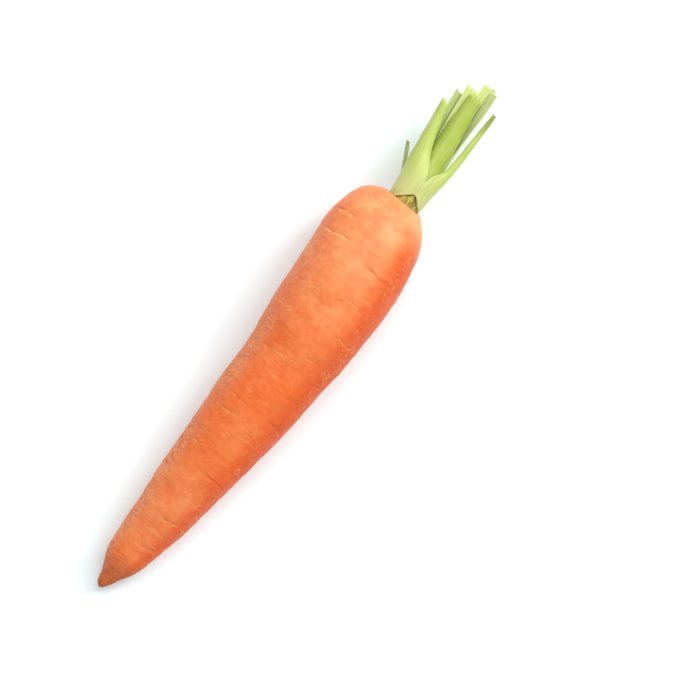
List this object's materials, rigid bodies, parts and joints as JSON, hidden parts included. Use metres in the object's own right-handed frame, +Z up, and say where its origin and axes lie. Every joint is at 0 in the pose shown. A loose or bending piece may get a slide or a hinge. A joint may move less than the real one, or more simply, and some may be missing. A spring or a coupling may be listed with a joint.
{
  "type": "carrot",
  "caption": "Whole fresh carrot: tapered orange taproot with its crown, and green leaf stalks trimmed a few centimetres above it.",
  "frame": {"origin": "on the surface the carrot lies on, under the middle of its bounding box", "axes": "+X runs along the carrot from the root's tip to the crown and the leaf stalks, +Z is up, and +Y is to the left when looking from the tip to the crown"},
  "size_m": [0.2192, 0.0382, 0.0368],
  "materials": {
    "skin": "satin",
    "stub": "matte",
    "pale_stalk": "satin",
    "green_stalk": "satin"
  },
  "bodies": {
    "root": {"taproot": "skin", "stem_stub": "stub", "outer_left_stalk": "pale_stalk", "outer_right_stalk": "pale_stalk", "under_right_stalk": "pale_stalk", "under_left_stalk": "pale_stalk", "centre_stalk": "green_stalk", "inner_left_stalk": "pale_stalk", "inner_right_stalk": "pale_stalk", "side_stub": "pale_stalk"}
  },
  "joints": []
}
